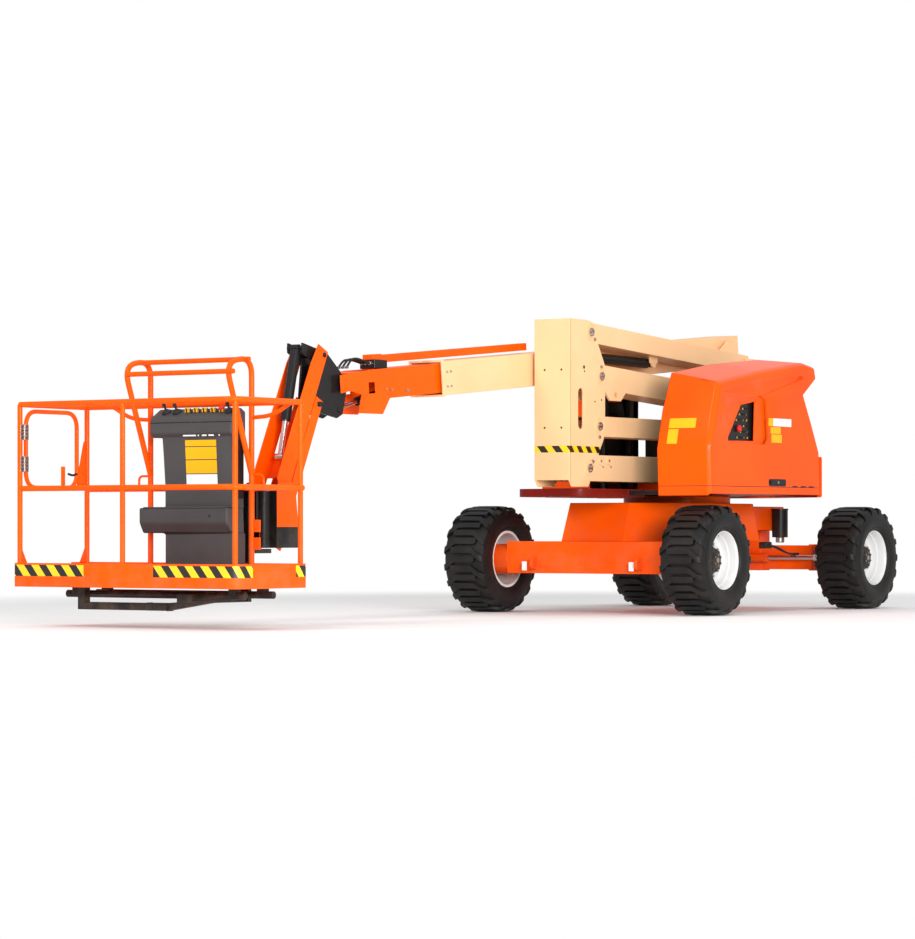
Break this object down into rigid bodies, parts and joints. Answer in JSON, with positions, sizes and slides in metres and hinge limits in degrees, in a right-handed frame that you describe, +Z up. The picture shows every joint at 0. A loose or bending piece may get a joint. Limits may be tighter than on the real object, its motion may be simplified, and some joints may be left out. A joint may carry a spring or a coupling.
{
  "type": "articulating boom lift",
  "caption": "Wheeled articulating boom lift: folding riser arms carry a telescopic boom, a jib and a railed work platform on a slewing turntable.",
  "frame": {"origin": "on the ground under the slew axis, midway between the axles", "axes": "+X towards the stowed platform, +Y to the left, +Z up"},
  "size_m": [8.132, 2.623, 2.2763],
  "materials": {
    "orange": "gloss paint",
    "hood_orange": "gloss moulding",
    "cream": "gloss paint",
    "black": "satin paint",
    "rim_silver": "satin paint",
    "tyre": "matte",
    "cast": "painted casting",
    "rod_chrome": "polished",
    "dark_plastic": "grained",
    "engine_grey": "rough"
  },
  "bodies": {
    "chassis": {"chassis_frame": "orange", "drive_axle": "orange", "steer_axle": "orange"},
    "knuckle_left": {"knuckle_left": "black"},
    "knuckle_right": {"knuckle_right": "black"},
    "steer_rod": {"steer_rod": "rod_chrome"},
    "wheel_drive_left": {"tyre_drive_left": "tyre", "rim_drive_left": "rim_silver"},
    "wheel_drive_right": {"tyre_drive_right": "tyre", "rim_drive_right": "rim_silver"},
    "wheel_steer_left": {"tyre_steer_left": "tyre", "rim_steer_left": "rim_silver"},
    "wheel_steer_right": {"tyre_steer_right": "tyre", "rim_steer_right": "rim_silver"},
    "turntable": {"turntable_frame": "black", "counterweight": "cast", "engine_block": "engine_grey"},
    "hood_left": {"hood_left": "hood_orange"},
    "hood_right": {"hood_right": "hood_orange"},
    "lower_arm": {"lower_arm": "cream"},
    "lower_link": {"lower_link": "cream"},
    "upright": {"upright": "cream"},
    "upper_arm": {"upper_arm": "cream"},
    "upper_link": {"upper_link": "cream"},
    "boom_mount": {"boom_mount": "cream"},
    "riser_barrel": {"riser_barrel": "black"},
    "riser_rod": {"riser_rod": "rod_chrome"},
    "base_boom": {"base_boom": "cream"},
    "lift_barrel": {"lift_barrel": "black"},
    "lift_rod": {"lift_rod": "rod_chrome"},
    "fly": {"fly_boom": "orange", "carrier_tube": "orange"},
    "jib_bracket": {"jib_bracket": "black"},
    "level_barrel": {"level_barrel": "black"},
    "level_rod": {"level_rod": "rod_chrome"},
    "jib_arm": {"jib_arm": "orange"},
    "jib_link": {"jib_link": "orange"},
    "jib_barrel": {"jib_barrel": "black"},
    "jib_rod": {"jib_rod": "rod_chrome"},
    "platform_bracket": {"platform_bracket": "black"},
    "platform": {"platform_support": "black", "platform_floor": "orange", "platform_rails": "orange", "console": "dark_plastic"},
    "gate": {"gate": "orange"}
  },
  "joints": [
    {"name": "steer_left", "type": "hinge", "parent": "chassis", "child": "knuckle_left", "pos_m": [-1.275, 0.7, 0.419], "axis": [0, 0, 1], "range_deg": [-35, 35]},
    {"name": "steer_right", "type": "hinge", "parent": "chassis", "child": "knuckle_right", "pos_m": [-1.275, -0.7, 0.419], "axis": [0, 0, 1], "range_deg": [-35.1, 35.1]},
    {"name": "steer_slide", "type": "slide", "parent": "chassis", "child": "steer_rod", "axis": [0, 1, 0], "range_m": [-0.096, 0.096]},
    {"name": "wheel_drive_left", "type": "hinge", "parent": "chassis", "child": "wheel_drive_left", "pos_m": [1.275, 0.973, 0.419], "axis": [0, 1, 0], "continuous": true},
    {"name": "wheel_drive_right", "type": "hinge", "parent": "chassis", "child": "wheel_drive_right", "pos_m": [1.275, -0.973, 0.419], "axis": [0, 1, 0], "continuous": true},
    {"name": "wheel_steer_left", "type": "hinge", "parent": "knuckle_left", "child": "wheel_steer_left", "pos_m": [-1.275, 0.973, 0.419], "axis": [0, 1, 0], "continuous": true},
    {"name": "wheel_steer_right", "type": "hinge", "parent": "knuckle_right", "child": "wheel_steer_right", "pos_m": [-1.275, -0.973, 0.419], "axis": [0, 1, 0], "continuous": true},
    {"name": "slew", "type": "hinge", "parent": "chassis", "child": "turntable", "pos_m": [0, 0, 0.918], "axis": [0, 0, 1], "range_deg": [-177.5, 177.5]},
    {"name": "riser", "type": "hinge", "parent": "turntable", "child": "lower_arm", "pos_m": [-0.61, 0.125, 1.119], "axis": [0, -1, 0], "range_deg": [0, 68]},
    {"name": "lower_link_turn", "type": "hinge", "parent": "turntable", "child": "lower_link", "pos_m": [-0.754, 0.125, 1.438], "axis": [0, -1, 0], "range_deg": [-0.1, 68.1]},
    {"name": "upright_level", "type": "hinge", "parent": "lower_arm", "child": "upright", "pos_m": [1.84, 0.125, 1.119], "axis": [0, -1, 0], "range_deg": [-68.1, 0.1]},
    {"name": "upper_arm_turn", "type": "hinge", "parent": "upright", "child": "upper_arm", "pos_m": [1.668, 0.125, 1.82], "axis": [0, -1, 0], "range_deg": [-68.1, 0.1]},
    {"name": "upper_link_turn", "type": "hinge", "parent": "upright", "child": "upper_link", "pos_m": [1.821, 0.125, 2.15], "axis": [0, -1, 0], "range_deg": [-68.1, 0.1]},
    {"name": "mount_level", "type": "hinge", "parent": "upper_arm", "child": "boom_mount", "pos_m": [-0.87777, 0.125, 1.67321], "axis": [0, -1, 0], "range_deg": [-0.1, 68.1]},
    {"name": "riser_barrel_turn", "type": "hinge", "parent": "upper_link", "child": "riser_barrel", "pos_m": [0.68997, 0.125, 1.96158], "axis": [0, -1, 0], "range_deg": [-0.1, 2.04]},
    {"name": "riser_rod_slide", "type": "slide", "parent": "riser_barrel", "child": "riser_rod", "axis": [0.9999, 0, 0.0126], "range_m": [-0.001, 0.20769]},
    {"name": "boom_lift", "type": "hinge", "parent": "boom_mount", "child": "base_boom", "pos_m": [-0.95, -0.2, 2.134], "axis": [0, -1, 0], "range_deg": [0, 77]},
    {"name": "lift_barrel_turn", "type": "hinge", "parent": "boom_mount", "child": "lift_barrel", "pos_m": [-0.62, -0.2, 1.64], "axis": [0, -1, 0], "range_deg": [-0.1, 71.86]},
    {"name": "lift_rod_slide", "type": "slide", "parent": "lift_barrel", "child": "lift_rod", "axis": [0.9884, 0, 0.1519], "range_m": [-0.001, 0.72814]},
    {"name": "telescope", "type": "slide", "parent": "base_boom", "child": "fly", "axis": [0.996, 0, -0.0889], "range_m": [0, 3]},
    {"name": "bracket_level", "type": "hinge", "parent": "fly", "child": "jib_bracket", "pos_m": [4.5, -0.2, 1.655], "axis": [0, -1, 0], "range_deg": [-77.1, 0.1]},
    {"name": "level_barrel_turn", "type": "hinge", "parent": "fly", "child": "level_barrel", "pos_m": [3.76, -0.2, 1.665], "axis": [0, -1, 0], "range_deg": [-0.1, 6.67]},
    {"name": "level_rod_slide", "type": "slide", "parent": "level_barrel", "child": "level_rod", "axis": [0.9744, 0, -0.2247], "range_m": [-0.19273, 0.001]},
    {"name": "jib_lift", "type": "hinge", "parent": "jib_bracket", "child": "jib_arm", "pos_m": [4.765, -0.2, 1.86], "axis": [0, -1, 0], "range_deg": [0, 130]},
    {"name": "jib_link_turn", "type": "hinge", "parent": "jib_bracket", "child": "jib_link", "pos_m": [4.805, -0.2, 1.52], "axis": [0, -1, 0], "range_deg": [-0.1, 130.1]},
    {"name": "jib_barrel_turn", "type": "hinge", "parent": "jib_bracket", "child": "jib_barrel", "pos_m": [4.95, -0.2, 1.905], "axis": [0, -1, 0], "range_deg": [-0.1, 156.41]},
    {"name": "jib_rod_slide", "type": "slide", "parent": "jib_barrel", "child": "jib_rod", "axis": [0.2296, 0, -0.9733], "range_m": [-0.07618, 0.001]},
    {"name": "platform_level", "type": "hinge", "parent": "jib_arm", "child": "platform_bracket", "pos_m": [5.225, -0.2, 0.9], "axis": [0, -1, 0], "range_deg": [-130.1, 0.1]},
    {"name": "platform_rotate", "type": "hinge", "parent": "platform_bracket", "child": "platform", "pos_m": [5.39, -0.15, 0.53], "axis": [0, 0, 1], "range_deg": [-90, 90]},
    {"name": "gate_swing", "type": "hinge", "parent": "platform", "child": "gate", "pos_m": [6.352, -1.428, 1.2], "axis": [0, 0, -1], "range_deg": [0, 85]},
    {"name": "hood_left_lift", "type": "hinge", "parent": "turntable", "child": "hood_left", "pos_m": [0, 0.6, 1.905], "axis": [1, 0, 0], "range_deg": [0, 65]},
    {"name": "hood_right_lift", "type": "hinge", "parent": "turntable", "child": "hood_right", "pos_m": [0, -0.6, 1.905], "axis": [-1, 0, 0], "range_deg": [0, 65]}
  ],
  "couplings": [
    {"joint": "steer_right", "follows": "steer_left", "ratio": 1},
    {"joint": "steer_slide", "follows": "steer_left", "m_per_rad": 0.15},
    {"joint": "lower_link_turn", "follows": "riser", "ratio": 1},
    {"joint": "upright_level", "follows": "riser", "ratio": -1},
    {"joint": "upper_arm_turn", "follows": "riser", "ratio": -1},
    {"joint": "upper_link_turn", "follows": "riser", "ratio": -1},
    {"joint": "mount_level", "follows": "riser", "ratio": 1},
    {"joint": "riser_barrel_turn", "follows": "riser", "ratio": 0.028474},
    {"joint": "riser_rod_slide", "follows": "riser", "m_per_rad": 0.17416},
    {"joint": "lift_barrel_turn", "follows": "boom_lift", "ratio": 0.93189},
    {"joint": "lift_rod_slide", "follows": "boom_lift", "m_per_rad": 0.54106},
    {"joint": "bracket_level", "follows": "boom_lift", "ratio": -1},
    {"joint": "level_barrel_turn", "follows": "boom_lift", "ratio": 0.085275},
    {"joint": "level_rod_slide", "follows": "boom_lift", "m_per_rad": -0.14267},
    {"joint": "jib_link_turn", "follows": "jib_lift", "ratio": 1},
    {"joint": "jib_barrel_turn", "follows": "jib_lift", "ratio": 1.2024},
    {"joint": "jib_rod_slide", "follows": "jib_lift", "m_per_rad": -0.033134},
    {"joint": "platform_level", "follows": "jib_lift", "ratio": -1}
  ]
}
